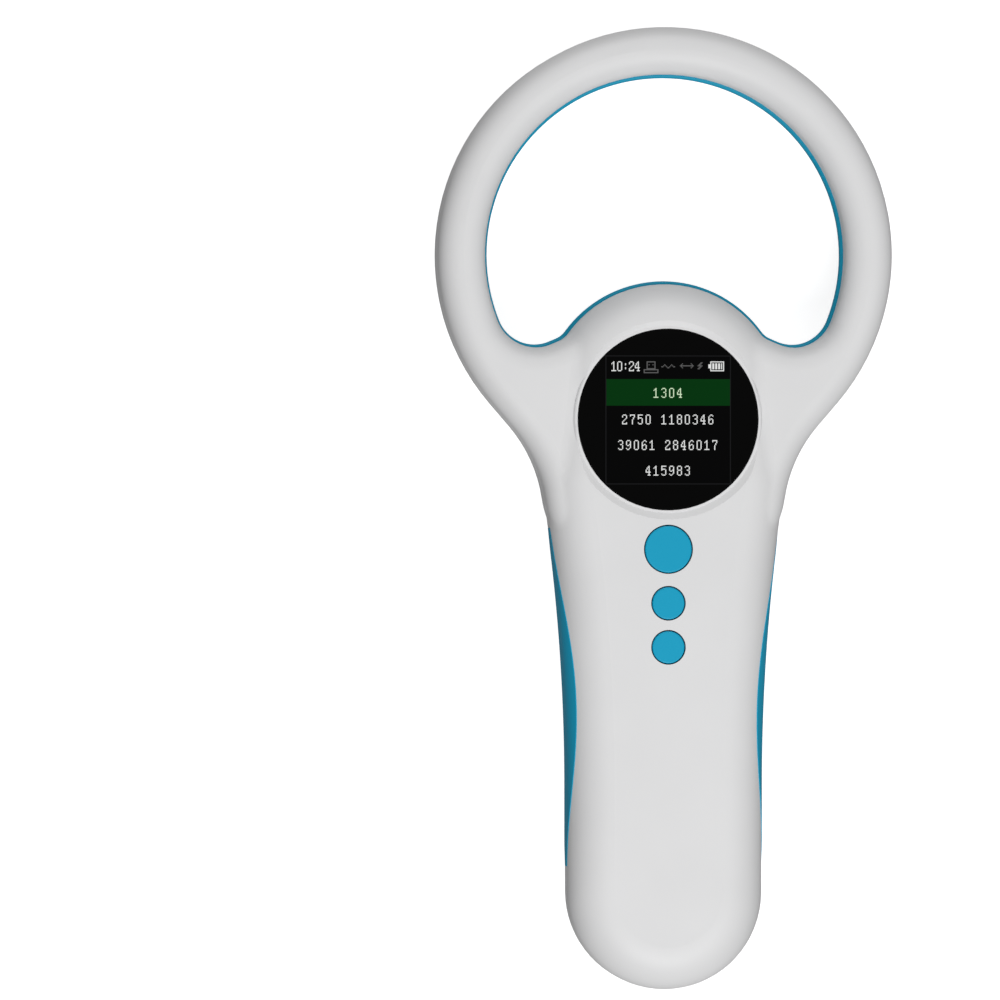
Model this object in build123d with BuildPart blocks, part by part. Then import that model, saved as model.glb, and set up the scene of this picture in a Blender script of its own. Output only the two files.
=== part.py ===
from build123d import *
from math import acos, cos, degrees, radians, sqrt, tan
import os

# Handheld microchip scanner: a ring antenna on a flat handle, with a round display and three buttons.
# X runs across the handle, Y along it with the ring towards +Y, and Z through its thickness with the
# display towards +Z. The scanner lies on its back on Z = 0, and Y = 0 is half way along it.
# Millimetres throughout.

# ---------------------------------------------------------------- driving dimensions
overall_length = 200.0
case_thickness = 24.0
shoulder_thickness = 20.4
wall = 2.0
shoulder_wall = 1.8
parting_height = case_thickness / 2

# ring and shoulders
ring_radius = 47.3
ring_width = 9.7
ring_edge_radius = 4.8
ring_centre = (0, overall_length / 2 - ring_radius)
opening_radius = ring_radius - ring_width
shoulder_angle = 40.7
shoulder_run = 6.2
throat_radius = 30.0
throat_sweep = 32.2
tuck_radius = 20.0
lobe_radius = 8.6
floor_slope = 23.0
floor_apex = (0, 44.1)
floor_apex_radius = 12.0

# hub and handle
column_edge_radius = 9.0
crease_radius = 5.0
crease_angle = 3.0
neck_centre = (0, 22.0)
neck_radius = 24.6
neck_half_width = 22.0
hub_waist = (23.7, 16.3)
throat_step = 0.25
hip_run = 4.2
hip_radius = 12.0
neck_corner_radius = 12.0
handle_taper = 8.5
handle_half_width = 20.2
handle_end_y = handle_half_width - overall_length / 2

# blue trim around the opening
trim_proud = 0.7
trim_root = 1.9
trim_thickness = 2.6
trim_edge_radius = 0.6

# side grips
grip_centre_y = -39.25
grip_length = 70.3
grip_half_height = 8.4
grip_tip_half_height = 1.8
grip_proud = 0.15
grip_depth = 1.2

# seam and lip where the two shells meet
seam_size = 0.3
lip_height = 1.0
lip_outer_inset = 1.1
lip_clearance = 0.1

# display window
window_centre = (0, 18.43)
window_radius = 18.7
window_thickness = 1.2
window_height = 23.3
window_clearance = 0.15
window_edge = 0.15
tape_thickness = 0.2
tape_radius = 18.5
aperture_size = (27.0, 28.0)
aperture_radius = 18.2
ledge_radius = 20.4
ledge_thickness = 1.4
land_radius = 19.6
land_edge_radius = 0.6
dish_floor_radius = 19.4
dish_rim_radius = 20.7

# display module
lcd_size = (28.5, 31.0)
lcd_centre = (0, 17.6)
lcd_glass_thickness = 1.2
lcd_backlight_thickness = 1.9
lcd_frame_wall = 0.9
lcd_frame_clearance = 0.1
lcd_edge = 0.1
flex_width = 12.0
flex_thickness = 0.15
flex_reach = 4.2
flex_notch_size = (13.0, 4.0, 1.2)
lcd_socket_size = (14.0, 2.6, 1.2)
lcd_socket_edge = 0.2

# buttons and switches
scan_point = (0, -8.45)
up_point = (0, -19.63)
down_point = (0, -28.75)
scan_cap_radius = 4.85
small_cap_radius = 3.35
cap_clearance = 0.25
cap_edge_radius = 0.3
scan_flange_radius = 6.0
small_flange_radius = 4.4
flange_thickness = 0.8
flange_clearance = 0.1
switch_size = 6.0
switch_height = 3.1
switch_edge = 0.3
plunger_radius = 1.7
plunger_clearance = 0.1
plunger_engagement = 0.8
plunger_well_room = 0.3
button_travel = 0.4

# circuit boards
board_thickness = 1.6
board_front = 17.2
board_hub_radius = 20.5
board_tail_width = 26.0
board_tail_end_y = -52.0
board_screw_points = [(-17.6, 24), (17.6, 24), (-17.6, 10.5), (17.6, 10.5), (-10.5, -47), (10.5, -47)]
board_hole_radius = 1.1
charge_board_size = (15.0, 14.0)
charge_board_corner_radius = 1.0
charge_board_centre = (0, -89.0)
charge_board_thickness = 1.2
charge_screw_points = [(-5.2, -88.5), (5.2, -88.5)]
charge_hole_radius = 0.95

# packages on the boards, each as width, length and height
package_edge = 0.15
controller_point = (-3, -38)
controller_size = (7.0, 7.0, 1.0)
reader_point = (-6, 1)
reader_size = (5.0, 5.0, 1.0)
memory_point = (-7, -12)
memory_size = (5.0, 6.0, 1.2)
radio_point = (0, 29)
radio_size = (12.0, 16.0, 0.8)
radio_shield_point = (0, 27)
radio_shield_size = (10.0, 10.0, 1.6)
radio_shield_corner_radius = 0.8
charger_point = (0, -87)
charger_size = (3.5, 3.5, 0.9)
buzzer_radius = 5.5
buzzer_height = 5.0
buzzer_edge_radius = 0.5
buzzer_hole_radius = 1.0
buzzer_hole_depth = 1.0

# antenna
coil_inner_radius = 40.8
coil_outer_radius = 44.2
coil_edge_radius = 1.2
bobbin_inner_radius = 40.0
bobbin_outer_radius = 45.0
bobbin_base = 6.5
bobbin_height = 7.0
bobbin_flange = 0.8
bobbin_rib_count = 9
bobbin_rib_span = 220.0
bobbin_rib_width = 1.2

# battery
battery_size = (28.0, 44.0, 8.0)
battery_centre_y = -58.0
battery_edge_radius = 1.5
battery_corner_radius = 0.8
battery_pad_size = (22.0, 40.0, 1.0)
battery_plug_size = (6.0, 3.5, 3.0)
battery_socket_size = (7.6, 3.0, 3.6)
battery_connector_edge = 0.3
plug_back_y = -27.5
plug_middle = 13.7

# wires
lead_radius = 0.45
lead_overlap = 0.1
lead_bend_share = 0.45
antenna_lead_x = 1.5
antenna_lead_y = 18.0
antenna_lead_level = 10.0
battery_lead_x = 1.2
battery_lead_level = 7.5
battery_lead_run = 3.0
battery_lead_rise = 2.5
charge_lead_x = 3.0
charge_lead_level = 13.4
charge_lead_start_y = -83.5
charge_lead_end_y = -50.0

# screws
housing_screw_points = [(-24.5, 26.5), (24.5, 26.5), (-16.5, -24), (16.5, -24), (-14, -86), (14, -86)]
housing_head_seat = 6.0
housing_head_radius = 2.1
housing_head_height = 1.4
housing_shank_radius = 1.1
housing_screw_length = 11.5
board_head_radius = 1.8
board_head_height = 1.2
board_shank_radius = 0.95
board_screw_length = 4.2
charge_head_radius = 1.5
charge_head_height = 0.9
charge_shank_radius = 0.8
charge_screw_length = 4.5
screw_slot = 0.5
screw_slot_reach = 1.1
screw_head_rounding = 0.4
screw_tip_taper = 0.3
pilot_clearance = 0.02
pilot_tip_room = 0.5
rear_post_radius = 3.6
front_post_radius = 3.0
board_post_radius = 2.0
counterbore_radius = 2.6
screw_clearance = 0.15

# USB-C inlet
usb_width = 8.94
usb_height = 3.26
usb_length = 7.3
usb_wall = 0.3
usb_mouth_y = -99.5
usb_tongue_size = (6.69, 0.7)
usb_tongue_setback = 0.8
usb_tongue_edge = 0.15
port_clearance = 0.3

# feet, sound holes and label on the back
foot_points = [(9, 28), (-9, 28), (7, -76), (-7, -76)]
foot_radius = 3.0
foot_height = 0.4
foot_recess = 0.5
foot_clearance = 0.1
foot_edge = 0.1
sound_hole_centre = (9, -12)
sound_hole_radius = 0.6
sound_hole_ring = 2.4
sound_holes_around = 6
label_size = (22.0, 34.0)
label_centre = (0, -47)
label_corner_radius = 1.5
label_recess = 0.3
label_clearance = 0.1
label_thickness = 0.25

# derived heights
inner_front = case_thickness - wall
window_underside = window_height - window_thickness
ledge_top = window_underside - tape_thickness
board_back = board_front - board_thickness
charge_board_top = parting_height - usb_height / 2
charge_board_bottom = charge_board_top - charge_board_thickness
battery_low = wall + battery_pad_size[2]
flange_top = inner_front - flange_clearance
flange_bottom = flange_top - flange_thickness
switch_top = board_front + switch_height
foot_seat = foot_height + foot_recess
label_seat = foot_height + label_recess


# ---------------------------------------------------------------- outlines seen from the front
with BuildLine() as shoulder_edge:
    ring_arc = CenterArc(ring_centre, ring_radius, 90, -90 - shoulder_angle)
    shoulder_line = PolarLine(ring_arc @ 1, shoulder_run, direction=ring_arc % 1)
    throat = JernArc(shoulder_line @ 1, shoulder_line % 1, throat_radius, throat_sweep)
throat_end = throat @ 1
throat_direction = throat % 1
# the handle starts a little inside the throat, so the two meet at a shallow angle that can be rounded
taper_start = throat_end - throat_direction.rotate(Axis.Z, 90) * throat_step

with BuildLine() as handle_edge:
    taper_radius = (taper_start.X - handle_half_width) / (1 - cos(radians(handle_taper)))
    taper = JernArc(taper_start, throat_direction, taper_radius, handle_taper)
    Line(taper @ 1, (handle_half_width, handle_end_y))
    CenterArc((0, handle_end_y), handle_half_width, 0, -90)

with BuildSketch() as shoulder_outline:
    with BuildLine():
        add(shoulder_edge.line)
        tuck = JernArc(throat_end, throat_direction, tuck_radius, handle_taper - 90)
        Line(tuck @ 1, (0, (tuck @ 1).Y))
        mirror(about=Plane.YZ)
    make_face()

neck_shoulder = (neck_half_width, neck_centre[1] + sqrt(neck_radius**2 - neck_half_width**2))
hip = taper_start - throat_direction.normalized() * hip_run

with BuildSketch() as column_outline:
    with BuildLine():
        CenterArc(neck_centre, neck_radius, 90, degrees(acos(neck_half_width / neck_radius)) - 90)
        ThreePointArc(neck_shoulder, hub_waist, hip)
        Line(hip, taper_start)
        add(handle_edge.line)
        mirror(about=Plane.YZ)
    make_face()
    fillet(column_outline.vertices().group_by(lambda v: abs(v.Y - hip.Y))[0], hip_radius)
    fillet(column_outline.vertices().group_by(lambda v: abs(v.Y - neck_shoulder[1]))[0], neck_corner_radius)

with BuildSketch() as silhouette:
    add(shoulder_outline.sketch)
    add(column_outline.sketch)


def opening_outline(cut_by_neck):
    """Outline of the ring's opening, with the hub's round neck standing in it or left out."""
    floor_end = floor_apex[1] - ring_radius * tan(radians(floor_slope))
    with BuildSketch() as opening:
        with Locations(ring_centre):
            Circle(opening_radius)
        if cut_by_neck:
            with Locations(neck_centre):
                Circle(neck_radius, mode=Mode.SUBTRACT)
        with BuildLine():
            Polyline(
                floor_apex,
                (ring_radius, floor_end),
                (ring_radius, 0),
                (-ring_radius, 0),
                (-ring_radius, floor_end),
                close=True,
            )
        make_face(mode=Mode.SUBTRACT)
        lobes = opening.vertices().filter_by(lambda v: abs(v.X) > neck_radius)
        fillet(lobes, lobe_radius)
        inner = opening.vertices().filter_by(lambda v: abs(v.X) < neck_half_width)
        fillet(inner, crease_radius if cut_by_neck else floor_apex_radius)
    return opening.sketch


opening_edge = opening_outline(cut_by_neck=True)
shoulder_opening = opening_outline(cut_by_neck=False)


def grown(outline, amount):
    """The outline moved outwards by amount, or inwards where it is negative."""
    return offset(outline, amount=amount, mode=Mode.PRIVATE) if amount else outline


# ---------------------------------------------------------------- form of the case
def shoulder_block(inset):
    """Ring and shoulders, with every surface moved inwards by inset."""
    thickness = shoulder_thickness - 2 * inset
    with BuildPart() as block:
        with BuildSketch(Plane.XY.offset(parting_height - thickness / 2)):
            add(grown(shoulder_outline.sketch, -inset))
            add(grown(shoulder_opening, inset), mode=Mode.SUBTRACT)
        extrude(amount=thickness)
        fillet(block.faces().filter_by(Axis.Z).edges(), ring_edge_radius - inset)
    return block.part


def column_block(inset):
    """Hub and handle, with every surface moved inwards by inset."""
    thickness = case_thickness - 2 * inset
    with BuildPart() as block:
        with BuildSketch(Plane.XY.offset(parting_height - thickness / 2)):
            add(grown(column_outline.sketch, -inset))
        extrude(amount=thickness)
        fillet(block.faces().filter_by(Axis.Z).edges(), column_edge_radius - inset)
    return block.part


def is_crease(edge, faces):
    """True where the two faces at an edge meet at an angle instead of running smoothly on."""
    beside = [face for face in faces if any(edge.is_same(other) for other in face.edges())]
    normals = [face.normal_at(edge.position_at(0.5)) for face in beside]
    return len(normals) == 2 and normals[0].get_angle(normals[1]) > crease_angle


with BuildPart() as outer_form:
    add(shoulder_block(0))
    add(column_block(0))
    form_faces = outer_form.faces()
    fillet(outer_form.edges().filter_by(lambda edge: is_crease(edge, form_faces)), crease_radius)

with BuildPart() as cavity_form:
    add(shoulder_block(shoulder_wall))
    add(column_block(wall))

with BuildPart() as post_limit:
    add(shoulder_block(wall / 2))
    add(column_block(wall / 2))


# ---------------------------------------------------------------- shapes cut from or added to the shells
def prism(plane, outline, height):
    """The outline, given in the XY plane, raised from a plane parallel to it."""
    with BuildPart() as raised:
        with BuildSketch(plane):
            add(outline)
        extrude(amount=height)
    return raised.part


def discs(points, radius):
    """A sketch of equal circles at the points."""
    with BuildSketch() as circles:
        with Locations(*points):
            Circle(radius)
    return circles.sketch


def posts(points, radius, low, high):
    """Round posts between two heights, trimmed to run out inside the wall."""
    with BuildPart() as trimmed:
        add(prism(Plane.XY.offset(low), discs(points, radius), high - low))
        add(post_limit.part, mode=Mode.INTERSECT)
    return trimmed.part


def ring_between(outline, outer_inset, inner_inset):
    """The band of an outline between two insets."""
    with BuildSketch() as band:
        add(grown(outline, -outer_inset))
        add(grown(outline, -inner_inset), mode=Mode.SUBTRACT)
    return band.sketch


def grip_leaf():
    """Both grips' leaf shape seen from the side, cut through the whole width outside the core."""
    rise = grip_half_height - grip_tip_half_height
    arc_radius = (rise**2 + (grip_length / 2) ** 2) / (2 * rise)
    arc_drop = arc_radius - grip_half_height
    with BuildPart() as leaf:
        with BuildSketch(Plane.YZ.offset(-ring_radius)):
            with Locations((grip_centre_y, parting_height - arc_drop)):
                Circle(arc_radius)
            with Locations((grip_centre_y, parting_height + arc_drop)):
                Circle(arc_radius, mode=Mode.INTERSECT)
            with Locations((grip_centre_y, parting_height)):
                Rectangle(grip_length, case_thickness, mode=Mode.INTERSECT)
        extrude(amount=2 * ring_radius)
    return leaf.part


with BuildPart() as grip_recess:
    add(grip_leaf())
    add(column_block(grip_depth), mode=Mode.SUBTRACT)

seam_groove = prism(
    Plane.XY.offset(parting_height - seam_size / 2), ring_between(silhouette.sketch, 0, seam_size), seam_size
)
trim_seat = prism(
    Plane.XY.offset(parting_height - trim_thickness / 2), grown(opening_edge, trim_root), trim_thickness
)
lip = prism(
    Plane.XY.offset(parting_height),
    ring_between(silhouette.sketch, lip_outer_inset, shoulder_wall),
    lip_height,
)
lip_groove = prism(
    Plane.XY.offset(parting_height),
    ring_between(silhouette.sketch, lip_outer_inset - lip_clearance, wall + lip_clearance),
    lip_height + lip_clearance,
)

with BuildPart() as port_cut:
    with BuildSketch(Plane.XZ.offset(overall_length / 2)):
        with Locations((0, parting_height)):
            SlotOverall(usb_width + 2 * port_clearance, usb_height + 2 * port_clearance)
    extrude(amount=-2 * wall)


# flat land that carries the window where the hub's side already rounds away
with BuildPart() as window_land:
    with BuildSketch(Plane.XY.offset(inner_front - wall / 2)):
        with Locations(window_centre):
            Circle(land_radius)
    extrude(amount=window_height - inner_front + wall / 2)
    fillet(window_land.faces().sort_by(Axis.Z)[-1].edges(), land_edge_radius)


# ---------------------------------------------------------------- front shell
with BuildPart() as front_shell:
    add(outer_form.part)
    add(cavity_form.part, mode=Mode.SUBTRACT)
    add(posts([window_centre], ledge_radius, ledge_top - ledge_thickness, case_thickness))
    add(posts(housing_screw_points, front_post_radius, parting_height, case_thickness))
    add(posts(board_screw_points, board_post_radius, board_front, case_thickness))
    split(bisect_by=Plane.XY.offset(parting_height), keep=Keep.TOP)
    add(window_land.part)
    # shallow dish that sets the window below the front face
    dish_depth = case_thickness - window_height
    dish_slope = (dish_rim_radius - dish_floor_radius) / dish_depth
    with Locations((*window_centre, window_height)):
        Cone(
            dish_floor_radius,
            dish_rim_radius + dish_slope * dish_depth,
            2 * dish_depth,
            align=(Align.CENTER, Align.CENTER, Align.MIN),
            mode=Mode.SUBTRACT,
        )
    with BuildSketch(Plane.XY.offset(ledge_top)):
        with Locations(window_centre):
            Circle(window_radius + window_clearance)
    extrude(amount=wall, mode=Mode.SUBTRACT)
    with BuildSketch(Plane.XY.offset(ledge_top - wall)):
        with Locations(window_centre):
            Rectangle(*aperture_size)
            Circle(aperture_radius, mode=Mode.INTERSECT)
    extrude(amount=2 * wall, mode=Mode.SUBTRACT)
    with BuildSketch(Plane.XY.offset(inner_front - wall)):
        with Locations(scan_point):
            Circle(scan_cap_radius + cap_clearance)
        with Locations(up_point, down_point):
            Circle(small_cap_radius + cap_clearance)
    extrude(amount=2 * wall, mode=Mode.SUBTRACT)
    housing_pilots = prism(
        Plane.XY.offset(parting_height),
        discs(housing_screw_points, housing_shank_radius + pilot_clearance),
        housing_head_seat + housing_screw_length + pilot_tip_room - parting_height,
    )
    board_pilots = prism(
        Plane.XY.offset(board_front),
        discs(board_screw_points, board_shank_radius + pilot_clearance),
        board_screw_length - board_thickness + pilot_tip_room,
    )
    for cutter in (housing_pilots, board_pilots, trim_seat, seam_groove, lip_groove):
        add(cutter, mode=Mode.SUBTRACT)
    add(grip_recess.part, mode=Mode.SUBTRACT)
    add(port_cut.part, mode=Mode.SUBTRACT)


# ---------------------------------------------------------------- rear shell
with BuildPart() as coil_ribs:
    with BuildSketch(Plane.XY.offset(wall)):
        with Locations(ring_centre):
            with PolarLocations(
                (opening_radius + ring_radius) / 2,
                bobbin_rib_count,
                start_angle=90 - bobbin_rib_span / 2,
                angular_range=bobbin_rib_span,
                endpoint=True,
            ):
                Rectangle(ring_width - wall, bobbin_rib_width)
    extrude(amount=bobbin_base - wall)
    add(post_limit.part, mode=Mode.INTERSECT)

with BuildSketch() as sound_holes:
    with Locations(sound_hole_centre):
        Circle(sound_hole_radius)
        with PolarLocations(sound_hole_ring, sound_holes_around):
            Circle(sound_hole_radius)
sound_cut = prism(Plane.XY, sound_holes.sketch, wall)

with BuildSketch() as label_outline:
    with Locations(label_centre):
        RectangleRounded(*label_size, label_corner_radius)
label_cut = prism(Plane.XY, grown(label_outline.sketch, label_clearance), label_seat)

# the back ends a little above the plane that the feet stand on
with BuildSketch() as whole_back:
    Rectangle(2 * ring_radius, overall_length)
back_cut = prism(Plane.XY, whole_back.sketch, foot_height)
foot_cut = prism(Plane.XY, discs(foot_points, foot_radius + foot_clearance), foot_seat)

with BuildPart() as rear_shell:
    add(outer_form.part)
    add(cavity_form.part, mode=Mode.SUBTRACT)
    add(posts(housing_screw_points, rear_post_radius, 0, parting_height))
    add(posts(charge_screw_points, board_post_radius, 0, charge_board_bottom))
    add(coil_ribs.part)
    split(bisect_by=Plane.XY.offset(parting_height), keep=Keep.BOTTOM)
    add(lip)
    counterbores = prism(Plane.XY, discs(housing_screw_points, counterbore_radius), housing_head_seat)
    shank_holes = prism(
        Plane.XY, discs(housing_screw_points, housing_shank_radius + screw_clearance), parting_height + wall
    )
    charge_pilots = prism(
        Plane.XY.offset(charge_board_top - charge_screw_length - pilot_tip_room),
        discs(charge_screw_points, charge_shank_radius + pilot_clearance),
        charge_screw_length,
    )
    for cutter in (back_cut, counterbores, shank_holes, charge_pilots, sound_cut, label_cut, foot_cut):
        add(cutter, mode=Mode.SUBTRACT)
    for cutter in (trim_seat, seam_groove, grip_recess.part, port_cut.part):
        add(cutter, mode=Mode.SUBTRACT)


# ---------------------------------------------------------------- trim, grips, label and feet
with BuildPart() as opening_trim:
    with BuildSketch(Plane.XY.offset(parting_height - trim_thickness / 2)):
        add(grown(opening_edge, trim_root))
        add(grown(opening_edge, -trim_proud), mode=Mode.SUBTRACT)
    extrude(amount=trim_thickness)
    flat_faces = opening_trim.faces().filter_by(Axis.Z)
    fillet([edge for face in flat_faces for edge in face.inner_wires().edges()], trim_edge_radius)

with BuildPart() as both_grips:
    add(column_block(-grip_proud))
    add(column_block(grip_depth), mode=Mode.SUBTRACT)
    add(grip_leaf(), mode=Mode.INTERSECT)

with BuildPart() as left_grip:
    add(both_grips.solids().sort_by(Axis.X)[0])

with BuildPart() as right_grip:
    add(both_grips.solids().sort_by(Axis.X)[-1])

with BuildPart() as rear_label:
    add(prism(Plane.XY.offset(label_seat - label_thickness), label_outline.sketch, label_thickness))

with BuildPart() as rest_feet:
    add(prism(Plane.XY, discs(foot_points, foot_radius), foot_seat))
    chamfer(rest_feet.faces().group_by(Axis.Z)[0].edges(), foot_edge)


# ---------------------------------------------------------------- display
with BuildPart() as display_window:
    add(prism(Plane.XY.offset(window_underside), discs([window_centre], window_radius), window_thickness))
    chamfer(display_window.faces().sort_by(Axis.Z)[-1].edges(), window_edge)

with BuildPart() as window_tape:
    with BuildSketch(Plane.XY.offset(ledge_top)):
        with Locations(window_centre):
            Circle(tape_radius)
            Rectangle(*aperture_size, mode=Mode.SUBTRACT)
    extrude(amount=tape_thickness)


def lcd_plate(height, thickness, growth):
    """A rectangular layer of the display module, grown on every side."""
    with BuildPart() as plate:
        with BuildSketch(Plane.XY.offset(height)):
            with Locations(lcd_centre):
                Rectangle(lcd_size[0] + 2 * growth, lcd_size[1] + 2 * growth)
        extrude(amount=thickness)
    return plate.part


lcd_stack = lcd_backlight_thickness + lcd_glass_thickness

with BuildPart() as lcd_backlight:
    add(lcd_plate(board_front, lcd_backlight_thickness, 0))

with BuildPart() as lcd_panel:
    add(lcd_plate(board_front + lcd_backlight_thickness, lcd_glass_thickness, 0))
    chamfer(lcd_panel.faces().sort_by(Axis.Z)[-1].edges(), lcd_edge)

lcd_bottom = lcd_centre[1] - lcd_size[1] / 2

with BuildPart() as lcd_frame:
    add(lcd_plate(board_front, lcd_stack, lcd_frame_clearance + lcd_frame_wall))
    add(lcd_plate(board_front, lcd_stack, lcd_frame_clearance), mode=Mode.SUBTRACT)
    with Locations((0, lcd_bottom, board_front)):
        Box(*flex_notch_size, mode=Mode.SUBTRACT)

flex_end_y = lcd_bottom - flex_reach

with BuildPart() as lcd_flex:
    with BuildSketch(Plane.XY.offset(board_front)):
        with Locations((0, flex_end_y)):
            Rectangle(flex_width, lcd_bottom - flex_end_y, align=(Align.CENTER, Align.MIN))
    extrude(amount=flex_thickness)

with BuildPart() as lcd_socket:
    with Locations((0, flex_end_y, board_front)):
        Box(*lcd_socket_size, align=(Align.CENTER, Align.MAX, Align.MIN))
    chamfer(lcd_socket.faces().sort_by(Axis.Z)[-1].edges(), lcd_socket_edge)


# ---------------------------------------------------------------- buttons and switches
def button(point, cap_radius, flange_radius):
    """A button cap with the flange that keeps it in the shell."""
    with BuildPart() as cap:
        add(prism(Plane.XY.offset(flange_bottom), discs([point], flange_radius), flange_thickness))
        add(prism(Plane.XY.offset(flange_bottom), discs([point], cap_radius), case_thickness - flange_bottom))
        fillet(cap.faces().sort_by(Axis.Z)[-1].edges(), cap_edge_radius)
    return cap.part


def plunger(point):
    """The moving stem of a tact switch, up to the underside of its button."""
    low = switch_top - plunger_engagement
    with BuildPart() as stem:
        add(prism(Plane.XY.offset(low), discs([point], plunger_radius), flange_bottom - low))
    return stem.part


with BuildPart() as scan_button:
    add(button(scan_point, scan_cap_radius, scan_flange_radius))

with BuildPart() as up_button:
    add(button(up_point, small_cap_radius, small_flange_radius))

with BuildPart() as down_button:
    add(button(down_point, small_cap_radius, small_flange_radius))

with BuildPart() as scan_plunger:
    add(plunger(scan_point))

with BuildPart() as up_plunger:
    add(plunger(up_point))

with BuildPart() as down_plunger:
    add(plunger(down_point))

with BuildPart() as switch_bodies:
    with BuildSketch(Plane.XY.offset(board_front)):
        with Locations(scan_point, up_point, down_point):
            RectangleRounded(switch_size, switch_size, switch_edge)
    extrude(amount=switch_height)
    well_depth = plunger_engagement + button_travel + plunger_well_room
    with BuildSketch(Plane.XY.offset(switch_top)):
        with Locations(scan_point, up_point, down_point):
            Circle(plunger_radius + plunger_clearance)
    extrude(amount=-well_depth, mode=Mode.SUBTRACT)


# ---------------------------------------------------------------- circuit boards and what is on them
with BuildPart() as main_board:
    with BuildSketch(Plane.XY.offset(board_back)):
        with Locations(window_centre):
            Circle(board_hub_radius)
        with Locations((0, board_tail_end_y)):
            Rectangle(board_tail_width, window_centre[1] - board_tail_end_y, align=(Align.CENTER, Align.MIN))
        with Locations(*board_screw_points):
            Circle(board_hole_radius, mode=Mode.SUBTRACT)
    extrude(amount=board_thickness)


def chip(point, size):
    """A chip package on the back of the main board."""
    with BuildPart() as package:
        with Locations((*point, board_back)):
            Box(*size, align=(Align.CENTER, Align.CENTER, Align.MAX))
        chamfer(package.faces().sort_by(Axis.Z)[0].edges(), package_edge)
    return package.part


with BuildPart() as controller_chip:
    add(chip(controller_point, controller_size))

with BuildPart() as reader_chip:
    add(chip(reader_point, reader_size))

with BuildPart() as memory_chip:
    add(chip(memory_point, memory_size))

with BuildPart() as radio_module:
    add(chip(radio_point, radio_size))

with BuildPart() as radio_shield:
    with BuildSketch(Plane.XY.offset(board_back - radio_size[2])):
        with Locations(radio_shield_point):
            RectangleRounded(*radio_shield_size[:2], radio_shield_corner_radius)
    extrude(amount=-radio_shield_size[2])

with BuildPart() as buzzer:
    with BuildSketch(Plane.XY.offset(board_back)):
        with Locations(sound_hole_centre):
            Circle(buzzer_radius)
    extrude(amount=-buzzer_height)
    fillet(buzzer.faces().sort_by(Axis.Z)[0].edges(), buzzer_edge_radius)
    with Locations((*sound_hole_centre, board_back - buzzer_height)):
        Cylinder(buzzer_hole_radius, 2 * buzzer_hole_depth, mode=Mode.SUBTRACT)

with BuildPart() as charge_board:
    with BuildSketch(Plane.XY.offset(charge_board_bottom)):
        with Locations(charge_board_centre):
            RectangleRounded(*charge_board_size, charge_board_corner_radius)
        with Locations(*charge_screw_points):
            Circle(charge_hole_radius, mode=Mode.SUBTRACT)
    extrude(amount=charge_board_thickness)

with BuildPart() as charger_chip:
    with Locations((*charger_point, charge_board_top)):
        Box(*charger_size, align=(Align.CENTER, Align.CENTER, Align.MIN))
    chamfer(charger_chip.faces().sort_by(Axis.Z)[-1].edges(), package_edge)

with BuildPart() as usb_c_shell:
    with BuildSketch(Plane.XZ.offset(-usb_mouth_y)):
        with Locations((0, parting_height)):
            SlotOverall(usb_width, usb_height)
    extrude(amount=-usb_length)
    with BuildSketch(Plane.XZ.offset(-usb_mouth_y)):
        with Locations((0, parting_height)):
            SlotOverall(usb_width - 2 * usb_wall, usb_height - 2 * usb_wall)
    extrude(amount=usb_wall - usb_length, mode=Mode.SUBTRACT)

with BuildPart() as usb_c_tongue:
    with BuildSketch(Plane.XZ.offset(-usb_mouth_y - usb_tongue_setback)):
        with Locations((0, parting_height)):
            Rectangle(*usb_tongue_size)
    extrude(amount=usb_wall + usb_tongue_setback - usb_length)
    tongue_tip = usb_c_tongue.faces().sort_by(Axis.Y)[0]
    chamfer(tongue_tip.edges(), usb_tongue_edge)


# ---------------------------------------------------------------- antenna
def ring_band(inner_radius, outer_radius, low, high):
    """A flat ring around the antenna's axis."""
    with BuildPart() as band:
        with BuildSketch(Plane.XY.offset(low)):
            with Locations(ring_centre):
                Circle(outer_radius)
                Circle(inner_radius, mode=Mode.SUBTRACT)
        extrude(amount=high - low)
    return band.part


bobbin_top = bobbin_base + bobbin_height
winding_low = bobbin_base + bobbin_flange
winding_high = bobbin_top - bobbin_flange

with BuildPart() as antenna_bobbin:
    add(ring_band(bobbin_inner_radius, bobbin_outer_radius, bobbin_base, bobbin_top))
    add(ring_band(coil_inner_radius, ring_radius, winding_low, winding_high), mode=Mode.SUBTRACT)

with BuildPart() as antenna_coil:
    add(ring_band(coil_inner_radius, coil_outer_radius, winding_low, winding_high))
    outer_rims = antenna_coil.edges().filter_by(GeomType.CIRCLE).sort_by(SortBy.RADIUS)[-2:]
    fillet(outer_rims, coil_edge_radius)


# ---------------------------------------------------------------- wires
def wire(route):
    """A wire along straight runs joined by arcs as large as the shorter run at each corner allows."""
    points = [Vector(*point) for point in route]
    bends = []
    for before, corner, after in zip(points, points[1:], points[2:]):
        turn = radians((corner - before).get_angle(after - corner))
        shorter = min((corner - before).length, (after - corner).length)
        bends.append(lead_bend_share * shorter / tan(turn / 2))
    with BuildPart() as sheath:
        with BuildLine():
            FilletPolyline(*points, radius=bends)
        with BuildSketch(Plane(origin=points[0], z_dir=points[1] - points[0])):
            Circle(lead_radius)
        sweep()
    return sheath.part


def mirrored_pair(route):
    """A wire and its mirror image across the handle."""
    with BuildPart() as pair:
        add(wire(route))
        mirror(about=Plane.YZ)
    return pair.part


bobbin_wall_y = ring_centre[1] - bobbin_inner_radius + lead_overlap
battery_top_y = battery_centre_y + battery_size[1] / 2

with BuildPart() as antenna_leads:
    antenna_route = [
        (antenna_lead_x, bobbin_wall_y, antenna_lead_level),
        (antenna_lead_x, antenna_lead_y, antenna_lead_level),
        (antenna_lead_x, antenna_lead_y, board_back),
    ]
    add(mirrored_pair(antenna_route))

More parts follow.
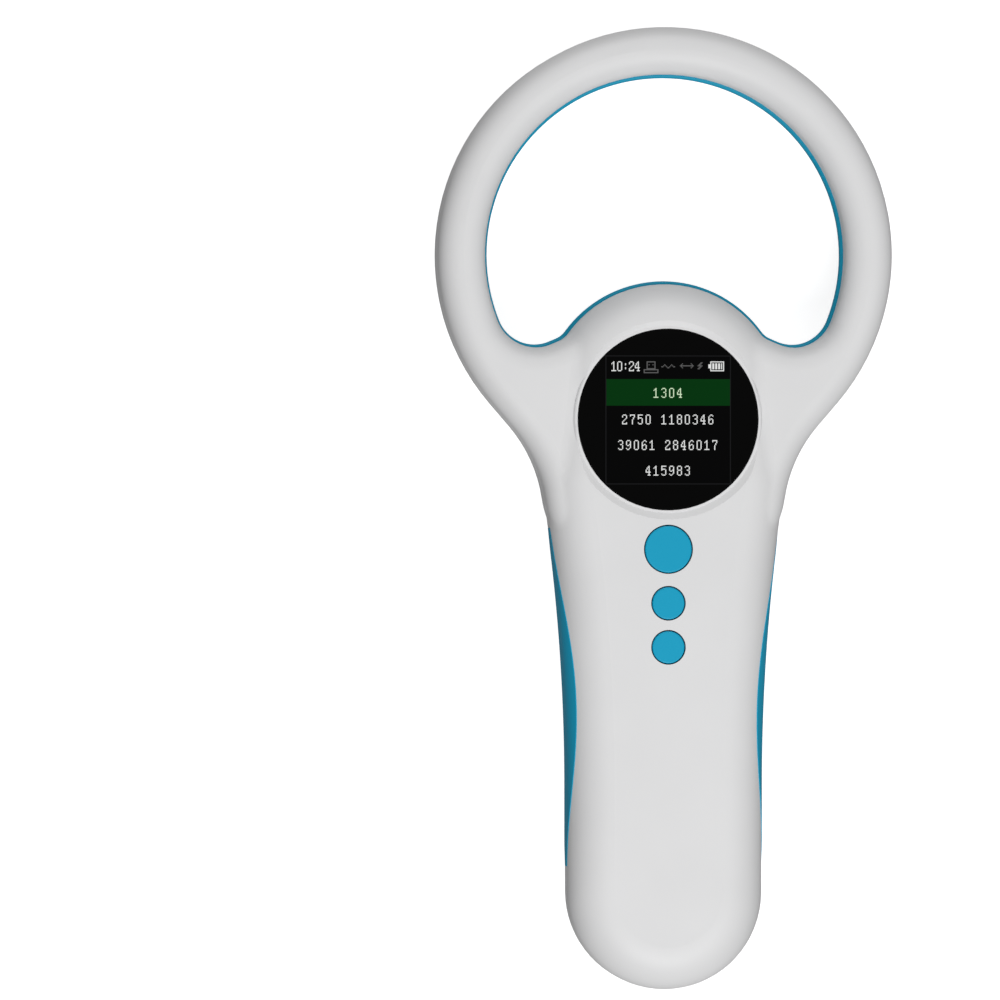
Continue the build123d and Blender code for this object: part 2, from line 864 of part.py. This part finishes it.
with BuildPart() as battery_leads:
    battery_route = [
        (battery_lead_x, battery_top_y, battery_lead_level),
        (battery_lead_x, plug_back_y - battery_lead_run - battery_lead_rise, battery_lead_level),
        (battery_lead_x, plug_back_y - battery_lead_run, plug_middle),
        (battery_lead_x, plug_back_y, plug_middle),
    ]
    add(mirrored_pair(battery_route))

with BuildPart() as charge_leads:
    charge_route = [
        (charge_lead_x, charge_lead_start_y, charge_board_top),
        (charge_lead_x, charge_lead_start_y, charge_lead_level),
        (charge_lead_x, charge_lead_end_y, charge_lead_level),
        (charge_lead_x, charge_lead_end_y, board_back),
    ]
    add(mirrored_pair(charge_route))


# ---------------------------------------------------------------- battery and its connector
with BuildPart() as battery_pad:
    with Locations((0, battery_centre_y, wall)):
        Box(*battery_pad_size, align=(Align.CENTER, Align.CENTER, Align.MIN))

with BuildPart() as battery_cell:
    with Locations((0, battery_centre_y, battery_low)):
        Box(*battery_size, align=(Align.CENTER, Align.CENTER, Align.MIN))
    fillet(battery_cell.edges().filter_by(Axis.Y), battery_edge_radius)
    fillet(battery_cell.edges().filter_by(Axis.Z), battery_corner_radius)

with BuildPart() as battery_plug:
    with Locations((0, plug_back_y, plug_middle)):
        Box(*battery_plug_size, align=(Align.CENTER, Align.MIN, Align.CENTER))
    chamfer(battery_plug.edges().filter_by(Axis.Y), battery_connector_edge)

with BuildPart() as battery_socket:
    with Locations((0, plug_back_y + battery_plug_size[1], board_back)):
        Box(*battery_socket_size, align=(Align.CENTER, Align.MIN, Align.MAX))
    chamfer(battery_socket.edges().filter_by(Axis.Y), battery_connector_edge)


# ---------------------------------------------------------------- screws
def screw(head_radius, head_height, shank_radius, shank_length):
    """A cross-head screw with its shank up +Z and the underside of its head at the origin."""
    with BuildPart() as body:
        Cylinder(shank_radius, shank_length, align=(Align.CENTER, Align.CENTER, Align.MIN))
        Cylinder(head_radius, head_height, align=(Align.CENTER, Align.CENTER, Align.MAX))
        head_face = body.faces().sort_by(Axis.Z)[0]
        fillet(head_face.edges(), head_height * screw_head_rounding)
        with Locations((0, 0, -head_height)):
            Box(head_radius * screw_slot_reach, screw_slot, head_height, mode=Mode.SUBTRACT)
            Box(screw_slot, head_radius * screw_slot_reach, head_height, mode=Mode.SUBTRACT)
        tip = body.faces().sort_by(Axis.Z)[-1]
        chamfer(tip.edges(), shank_radius * screw_tip_taper)
    return body.part


with BuildPart() as housing_screws:
    housing_screw = screw(
        housing_head_radius, housing_head_height, housing_shank_radius, housing_screw_length
    )
    with Locations(*[(x, y, housing_head_seat) for x, y in housing_screw_points]):
        add(housing_screw)

with BuildPart() as board_screws:
    board_screw = screw(board_head_radius, board_head_height, board_shank_radius, board_screw_length)
    with Locations(*[(x, y, board_back) for x, y in board_screw_points]):
        add(board_screw)

with BuildPart() as charge_screws:
    charge_screw = screw(charge_head_radius, charge_head_height, charge_shank_radius, charge_screw_length)
    turned_over = Rot(X=180) * charge_screw
    with Locations(*[(x, y, charge_board_top) for x, y in charge_screw_points]):
        add(turned_over)


# ---------------------------------------------------------------- labels and files
pieces = {
    "front_shell": front_shell,
    "rear_shell": rear_shell,
    "opening_trim": opening_trim,
    "left_grip": left_grip,
    "right_grip": right_grip,
    "rear_label": rear_label,
    "rest_feet": rest_feet,
    "display_window": display_window,
    "window_tape": window_tape,
    "lcd_panel": lcd_panel,
    "lcd_backlight": lcd_backlight,
    "lcd_frame": lcd_frame,
    "lcd_flex": lcd_flex,
    "lcd_socket": lcd_socket,
    "scan_button": scan_button,
    "up_button": up_button,
    "down_button": down_button,
    "scan_plunger": scan_plunger,
    "up_plunger": up_plunger,
    "down_plunger": down_plunger,
    "switch_bodies": switch_bodies,
    "main_board": main_board,
    "controller_chip": controller_chip,
    "reader_chip": reader_chip,
    "memory_chip": memory_chip,
    "radio_module": radio_module,
    "radio_shield": radio_shield,
    "buzzer": buzzer,
    "charge_board": charge_board,
    "charger_chip": charger_chip,
    "usb_c_shell": usb_c_shell,
    "usb_c_tongue": usb_c_tongue,
    "antenna_bobbin": antenna_bobbin,
    "antenna_coil": antenna_coil,
    "antenna_leads": antenna_leads,
    "battery_cell": battery_cell,
    "battery_pad": battery_pad,
    "battery_plug": battery_plug,
    "battery_socket": battery_socket,
    "battery_leads": battery_leads,
    "charge_leads": charge_leads,
    "housing_screws": housing_screws,
    "board_screws": board_screws,
    "charge_screws": charge_screws,
}

os.makedirs("parts", exist_ok=True)
for name, piece in pieces.items():
    piece.part.label = name
    export_step(piece.part, f"parts/{name}.step")
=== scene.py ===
"""Looks of a handheld microchip scanner that stands on the feet of its back on a pale studio floor.

Metres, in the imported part's own frame: X across the handle, Y along it towards the ring, Z out of the
display side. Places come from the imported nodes' boxes.
"""
import math

import bmesh
import bpy
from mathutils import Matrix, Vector


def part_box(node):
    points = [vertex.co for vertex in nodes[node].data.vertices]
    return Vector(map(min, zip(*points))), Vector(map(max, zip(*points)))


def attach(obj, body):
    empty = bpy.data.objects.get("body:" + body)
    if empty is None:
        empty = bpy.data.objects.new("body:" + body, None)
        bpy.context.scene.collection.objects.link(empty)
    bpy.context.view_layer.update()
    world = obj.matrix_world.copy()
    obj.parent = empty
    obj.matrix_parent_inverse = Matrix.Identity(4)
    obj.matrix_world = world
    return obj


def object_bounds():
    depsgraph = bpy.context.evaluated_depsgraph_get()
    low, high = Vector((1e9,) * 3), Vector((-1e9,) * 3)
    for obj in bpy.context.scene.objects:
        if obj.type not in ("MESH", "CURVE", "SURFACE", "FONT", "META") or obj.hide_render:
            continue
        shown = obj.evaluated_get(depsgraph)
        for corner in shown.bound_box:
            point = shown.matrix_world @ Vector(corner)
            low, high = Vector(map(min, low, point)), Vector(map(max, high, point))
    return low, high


MM = 0.001

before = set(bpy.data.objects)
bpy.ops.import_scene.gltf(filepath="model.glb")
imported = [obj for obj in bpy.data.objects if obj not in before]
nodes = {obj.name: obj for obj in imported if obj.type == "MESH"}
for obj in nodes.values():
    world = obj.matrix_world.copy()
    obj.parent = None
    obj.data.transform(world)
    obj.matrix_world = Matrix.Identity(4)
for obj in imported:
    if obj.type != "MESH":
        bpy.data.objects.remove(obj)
cad_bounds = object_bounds()


# ---------------------------------------------------------------- camera
CAMERA_YAW = math.radians(4.5)
CAMERA_DISTANCE = 2.0
VIEW_WIDTH = 208 * MM
VIEW_CENTRE = Vector((-34.05, 1.75, 12.0)) * MM


def add_camera():
    """A long lens that looks straight down on the display side, from slightly to the left."""
    data = bpy.data.cameras.new("camera")
    camera = bpy.data.objects.new("camera", data)
    bpy.context.scene.collection.objects.link(camera)
    away = Vector((-math.sin(CAMERA_YAW), 0, math.cos(CAMERA_YAW)))
    camera.location = VIEW_CENTRE + away * CAMERA_DISTANCE
    camera.rotation_euler = (0, -CAMERA_YAW, 0)
    data.lens = data.sensor_width * CAMERA_DISTANCE / VIEW_WIDTH
    data.clip_start = 0.1
    data.clip_end = 20
    bpy.context.scene.camera = camera


# ---------------------------------------------------------------- materials
DRIFT_SIZE = 18 * MM
GRAIN_ROUGHNESS = 0.06
LINE_SIZE = 0.25 * MM
LINE_DEPTH = 0.002 * MM


class Shader:
    """A node material with one Principled shader and short names for adding nodes to it."""

    def __init__(self, name, roughness, metallic=0.0, specular=0.5):
        self.material = bpy.data.materials.new(name)
        self.material.use_nodes = True
        self.tree = self.material.node_tree
        self.shader = self.tree.nodes["Principled BSDF"]
        self.shader.inputs["Roughness"].default_value = roughness
        self.shader.inputs["Metallic"].default_value = metallic
        self.shader.inputs["Specular IOR Level"].default_value = specular
        self.place = self.tree.nodes.new("ShaderNodeTexCoord").outputs["Object"]

    def add(self, kind, **values):
        node = self.tree.nodes.new(kind)
        for key, value in values.items():
            setattr(node, key, value)
        return node

    def link(self, output, socket):
        self.tree.links.new(output, socket)

    def noise(self, size, detail=2.0, stretch=(1, 1, 1)):
        """Noise whose cells are about size metres across."""
        mapping = self.add("ShaderNodeMapping")
        mapping.inputs["Scale"].default_value = stretch
        self.link(self.place, mapping.inputs["Vector"])
        noise = self.add("ShaderNodeTexNoise")
        noise.inputs["Scale"].default_value = 1 / size
        noise.inputs["Detail"].default_value = detail
        self.link(mapping.outputs["Vector"], noise.inputs["Vector"])
        return noise.outputs["Fac"]

    def colours(self, fac, dark, light, spread=0.3):
        """A ramp between two colours, driven by noise around its middle."""
        ramp = self.add("ShaderNodeValToRGB")
        ramp.color_ramp.elements[0].position = 0.5 - spread
        ramp.color_ramp.elements[1].position = 0.5 + spread
        ramp.color_ramp.elements[0].color = (*dark, 1)
        ramp.color_ramp.elements[1].color = (*light, 1)
        self.link(fac, ramp.inputs["Fac"])
        self.link(ramp.outputs["Color"], self.shader.inputs["Base Color"])

    def roughness(self, fac, low, high):
        """Roughness that follows noise between two values."""
        span = self.add("ShaderNodeMapRange")
        span.inputs["To Min"].default_value = low
        span.inputs["To Max"].default_value = high
        self.link(fac, span.inputs["Value"])
        self.link(span.outputs["Result"], self.shader.inputs["Roughness"])

    def bump(self, fac, height):
        """Relief of a real height in metres."""
        bump = self.add("ShaderNodeBump")
        bump.inputs["Strength"].default_value = 1.0
        bump.inputs["Distance"].default_value = height
        self.link(fac, bump.inputs["Height"])
        self.link(bump.outputs["Normal"], self.shader.inputs["Normal"])


def shade(colour, factor):
    """The colour made darker or lighter."""
    return tuple(min(1.0, channel * factor) for channel in colour)


def moulded(name, colour, roughness, grain=0.35 * MM, depth=0.004 * MM, variation=0.02, specular=0.5):
    """Moulded plastic or rubber: a fine spark-eroded grain, and a slow drift of tone over the piece."""
    surface = Shader(name, roughness, specular=specular)
    surface.colours(surface.noise(DRIFT_SIZE), shade(colour, 1 - variation), shade(colour, 1 + variation))
    fine = surface.noise(grain, detail=4)
    surface.roughness(fine, roughness - GRAIN_ROUGHNESS, roughness + GRAIN_ROUGHNESS)
    surface.bump(fine, depth)
    return surface.material


def brushed(name, colour, roughness, stretch=(1, 1, 1)):
    """Metal with fine lines across the stretched axis, or plain and finely mottled."""
    surface = Shader(name, roughness, metallic=1.0)
    lines = surface.noise(LINE_SIZE, detail=3, stretch=stretch)
    surface.colours(lines, shade(colour, 0.9), shade(colour, 1.06))
    surface.roughness(lines, roughness - 0.08, roughness + 0.1)
    surface.bump(lines, LINE_DEPTH)
    return surface.material


def finish(names, material):
    """Gives CAD nodes a finished material in place of their plain one."""
    for name in names.split():
        node = nodes[name]
        node.data.materials.clear()
        node.data.materials.append(material)


CASE_WHITE = (0.80, 0.80, 0.805)
TRIM_BLUE = (0.003, 0.31, 0.49)
GRIP_BLUE = (0.003, 0.35, 0.56)
BUTTON_BLUE = (0.002, 0.375, 0.60)


BLACK = (0.03, 0.03, 0.03)


def finish_nodes():
    """Materials of every CAD node."""
    finish("front_shell rear_shell", moulded("case_plastic", CASE_WHITE, 0.5))
    finish("opening_trim", moulded("trim_blue", TRIM_BLUE, 0.5, grain=0.25 * MM, specular=0.25))
    finish("left_grip right_grip",
           moulded("grip_blue", GRIP_BLUE, 0.65, grain=0.25 * MM, depth=0.006 * MM, specular=0.25))
    finish("scan_button up_button down_button", moulded("button_blue", BUTTON_BLUE, 0.45, specular=0.3))
    finish("display_window",
           moulded("window_gloss", (0.002, 0.002, 0.002), 0.08, depth=0.0005 * MM, specular=0.06))
    finish("rest_feet",
           moulded("foot_rubber", (0.06, 0.06, 0.06), 0.7, grain=0.5 * MM, depth=0.01 * MM, variation=0.1))
    finish("rear_label", moulded("blank_label", (0.70, 0.70, 0.71), 0.35))
    finish("usb_c_shell", brushed("usb_steel", (0.70, 0.70, 0.70), 0.25, stretch=(8, 0.3, 8)))

    finish("scan_plunger up_plunger down_plunger lcd_frame usb_c_tongue "
           "controller_chip reader_chip memory_chip charger_chip buzzer",
           moulded("black_plastic", BLACK, 0.45, variation=0.1))
    finish("window_tape battery_pad",
           moulded("black_foam", BLACK, 0.85, grain=0.5 * MM, depth=0.05 * MM, variation=0.2))
    finish("antenna_bobbin", moulded("grey_plastic", (0.35, 0.35, 0.36), 0.5))
    finish("lcd_socket battery_plug battery_socket", moulded("cream_plastic", (0.75, 0.70, 0.58), 0.45))
    finish("battery_leads charge_leads", moulded("red_insulation", (0.45, 0.03, 0.03), 0.4))
    finish("lcd_flex", moulded("amber_film", (0.45, 0.22, 0.04), 0.25))
    finish("battery_cell", moulded("silver_film", (0.50, 0.52, 0.55), 0.3))
    finish("lcd_backlight", moulded("milky_plastic", (0.8, 0.8, 0.78), 0.35))
    finish("lcd_panel", moulded("lcd_glass", (0.02, 0.02, 0.025), 0.08))
    finish("main_board charge_board radio_module",
           moulded("board_green", (0.02, 0.16, 0.07), 0.35, variation=0.1))
    finish("housing_screws board_screws charge_screws switch_bodies radio_shield",
           brushed("screw_steel", (0.62, 0.62, 0.62), 0.3))
    finish("antenna_coil antenna_leads",
           brushed("enamelled_copper", (0.75, 0.32, 0.14), 0.3, stretch=(1, 1, 12)))


# ---------------------------------------------------------------- what the display shows
# The display is a grid of square dots, counted from its lower left corner. Its picture is built in thin
# layers that lie a hair above the dark window.
SCREEN_DOTS = 128
SCREEN_SIZE = 26.1 * MM
DOT = SCREEN_SIZE / SCREEN_DOTS
LAYER = 0.02 * MM
CELL = 8  # dots from one character to the next
CLOCK_CELL = 6

AREA_ROWS = (-2, 128)  # the dark area runs a little past the first and the last row
HIGHLIGHT_ROWS = (78, 104)
HIGHLIGHTED_LINE = ("1304", 86)  # each line is its text and its baseline's row
LINES = (("2750 1180346", 59), ("39061 2846017", 33), ("415983", 7))
CLOCK = ("10:24", 113)
CLOCK_MIDDLE = 20

DIGITS = {
    "0": (" ### ", "#   #", "#   #", "#   #", "#   #", "#   #", "#   #", "#   #", "#   #", " ### "),
    "1": ("  #  ", " ##  ", "# #  ", "  #  ", "  #  ", "  #  ", "  #  ", "  #  ", "  #  ", "#####"),
    "2": (" ### ", "#   #", "#   #", "    #", "   # ", "  #  ", " #   ", "#    ", "#   #", "#####"),
    "3": (" ### ", "#   #", "    #", "    #", "  ## ", "    #", "    #", "    #", "#   #", " ### "),
    "4": ("   # ", "  ## ", " # # ", " # # ", "#  # ", "#  # ", "#####", "   # ", "   # ", "  ###"),
    "5": ("#####", "#    ", "#    ", "#### ", "#   #", "    #", "    #", "    #", "#   #", " ### "),
    "6": ("  ## ", " #  #", "#    ", "#    ", "# ## ", "##  #", "#   #", "#   #", "#   #", " ### "),
    "7": ("#####", "#   #", "    #", "   # ", "   # ", "  #  ", "  #  ", "  #  ", "  #  ", "  #  "),
    "8": (" ### ", "#   #", "#   #", "#   #", " ### ", "#   #", "#   #", "#   #", "#   #", " ### "),
    "9": (" ### ", "#   #", "#   #", "#   #", "#  ##", " ## #", "    #", "    #", "#  # ", " ##  "),
    ":": ("     ", "     ", "  #  ", "  #  ", "     ", "     ", "  #  ", "  #  ", "     ", "     "),
}


# drawings of the status line: left column, top row, and rows of dots from the top down
DESK_UNIT = (39, 122, (
    "   #########   ",
    "   #       #   ",
    "   #       #   ",
    "   # #   # #   ",
    "   #       #   ",
    "   #       #   ",
    "   #       #   ",
    "   #########   ",
    "###############",
    "#             #",
    "#             #",
    "###############",
))
WAVES = (57, 119, (
    "   #      #   ",
    "  # #    # #  ",
    "##   #  #   ##",
    "      ##      ",
))
ARROWS = (76, 120, (
    "  #        #  ",
    " #          # ",
    "##############",
    " #          # ",
    "  #        #  ",
))
BOLT = (94, 121, (
    "   ##",
    "  ## ",
    " ##  ",
    "#####",
    "  ## ",
    " ##  ",
    "##   ",
))
BATTERY = (105, 122, (
    "  ##############",
    "  #            #",
    "  # ## ## ## # #",
    "### ## ## ## # #",
    "### ## ## ## # #",
    "### ## ## ## # #",
    "### ## ## ## # #",
    "  # ## ## ## # #",
    "  #            #",
    "  ##############",
))


def drawing_dots(left, top, rows):
    """The dots of a drawing, with its top left dot at a place on the screen."""
    return {(left + i, top - j) for j, row in enumerate(rows) for i, mark in enumerate(row) if mark == "#"}


def text_dots(text, baseline, middle=SCREEN_DOTS // 2, cell=CELL):
    """A line of digits centred on a column and standing on a row."""
    dots = set()
    left = middle - len(text) * cell // 2
    for place, character in enumerate(text):
        rows = DIGITS.get(character, ())
        dots |= drawing_dots(left + place * cell + 1, baseline + len(rows) - 1, rows)
    return dots


def block_dots(left, bottom, right, top):
    return {(i, j) for i in range(left, right + 1) for j in range(bottom, top + 1)}


def outline_dots(left, bottom, right, top):
    return block_dots(left, bottom, right, top) - block_dots(left + 1, bottom + 1, right - 1, top - 1)


def picture(name, dots, layer, material):
    """A closed flat piece in the shape of the lit dots, in one of the layers above the window."""
    window_low, window_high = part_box("display_window")
    left = (window_low.x + window_high.x - SCREEN_SIZE) / 2
    bottom = (window_low.y + window_high.y - SCREEN_SIZE) / 2
    level = window_high.z + layer * LAYER
    mesh = bmesh.new()
    corners = {}

    def corner(i, j):
        if (i, j) not in corners:
            corners[i, j] = mesh.verts.new((left + i * DOT, bottom + j * DOT, level))
        return corners[i, j]

    for i, j in sorted(dots):
        mesh.faces.new((corner(i, j), corner(i + 1, j), corner(i + 1, j + 1), corner(i, j + 1)))
    raised = bmesh.ops.extrude_face_region(mesh, geom=mesh.faces[:], use_keep_orig=True)
    top = [item for item in raised["geom"] if isinstance(item, bmesh.types.BMVert)]
    bmesh.ops.translate(mesh, verts=top, vec=(0, 0, LAYER))
    bmesh.ops.recalc_face_normals(mesh, faces=mesh.faces[:])
    data = bpy.data.meshes.new(name)
    mesh.to_mesh(data)
    mesh.free()
    data.materials.append(material)
    piece = bpy.data.objects.new(name, data)
    bpy.context.scene.collection.objects.link(piece)
    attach(piece, "case")


def glowing(name, colour, strength=1.0):
    """A lit part of the display: nearly black by itself, with its own light."""
    surface = Shader(name, roughness=0.1, specular=0.06)
    surface.colours(surface.noise(2 * MM), shade(colour, 0.04), shade(colour, 0.06))
    surface.shader.inputs["Emission Color"].default_value = (*colour, 1)
    surface.shader.inputs["Emission Strength"].default_value = strength
    return surface.material


def add_screen():
    """Lines of digits, one of them highlighted, and a status line with a clock and drawings above them."""
    dark = glowing("screen_dark", (0.0035, 0.0035, 0.0037), strength=0.4)
    faint = glowing("screen_faint", (0.010, 0.010, 0.011))
    green = glowing("screen_green", (0.0015, 0.032, 0.0045))
    pale_green = glowing("screen_pale_green", (0.58, 0.75, 0.50))
    white = glowing("screen_white", (0.72, 0.73, 0.72))
    grey = glowing("screen_grey", (0.10, 0.10, 0.10))

    last = SCREEN_DOTS - 1
    low, high = AREA_ROWS
    picture("screen_area", block_dots(0, low, last, high), 0, dark)
    picture("screen_edge", outline_dots(0, low, last, high), 1, faint)

    low, high = HIGHLIGHT_ROWS
    picture("screen_highlight", block_dots(1, low, last - 1, high), 2, green)
    picture("screen_first_line", text_dots(*HIGHLIGHTED_LINE), 3, pale_green)

    bright = text_dots(*CLOCK, middle=CLOCK_MIDDLE, cell=CLOCK_CELL) | drawing_dots(*BATTERY)
    for text, baseline in LINES:
        bright |= text_dots(text, baseline)
    picture("screen_lines", bright, 2, white)

    icons = set()
    for drawing in (DESK_UNIT, WAVES, ARROWS, BOLT):
        icons |= drawing_dots(*drawing)
    picture("screen_icons", icons, 2, grey)


# ---------------------------------------------------------------- studio
FLOOR_REACH = 3.0
LAMP_DISTANCE = 1.5
LAMP_SIZE = 0.8


def add_floor():
    """A pale floor that is a little bright by itself, so that the soft shadow on it stays light."""
    mesh = bpy.data.meshes.new("floor")
    level = cad_bounds[0].z
    corners = [(x * FLOOR_REACH, y * FLOOR_REACH, level) for x, y in ((-1, -1), (1, -1), (1, 1), (-1, 1))]
    mesh.from_pydata(corners, [], [(0, 1, 2, 3)])
    floor = bpy.data.objects.new("floor", mesh)
    bpy.context.scene.collection.objects.link(floor)
    surface = Shader("floor_paper", roughness=0.9, specular=0.1)
    surface.colours(surface.noise(300 * MM), (0.80, 0.80, 0.80), (0.84, 0.84, 0.84))
    surface.shader.inputs["Emission Color"].default_value = (1, 1, 1, 1)
    surface.shader.inputs["Emission Strength"].default_value = 0.7
    mesh.materials.append(surface.material)
    floor.visible_diffuse = False
    floor.visible_glossy = False


def add_light(name, azimuth, elevation, power):
    """A soft square lamp that faces the scanner, placed by its direction in degrees."""
    data = bpy.data.lights.new(name, "AREA")
    data.size = LAMP_SIZE
    data.energy = power
    lamp = bpy.data.objects.new(name, data)
    bpy.context.scene.collection.objects.link(lamp)
    turn, rise = math.radians(azimuth), math.radians(elevation)
    away = Vector((math.cos(turn) * math.cos(rise), math.sin(turn) * math.cos(rise), math.sin(rise)))
    lamp.location = away * LAMP_DISTANCE
    lamp.rotation_euler = (-away).to_track_quat("-Z", "Y").to_euler()


def add_studio():
    """Even white surroundings and three soft lamps."""
    world = bpy.data.worlds.new("studio")
    bpy.context.scene.world = world
    world.use_nodes = True
    background = world.node_tree.nodes["Background"]
    background.inputs["Color"].default_value = (1, 1, 1, 1)
    background.inputs["Strength"].default_value = 0.245
    add_light("near_lamp", azimuth=270, elevation=50, power=12.5)
    add_light("right_lamp", azimuth=315, elevation=60, power=2.4)
    add_light("far_lamp", azimuth=90, elevation=30, power=7.4)
    bpy.context.scene.view_settings.view_transform = "Standard"


add_camera()
finish_nodes()
add_screen()
add_floor()
add_studio()
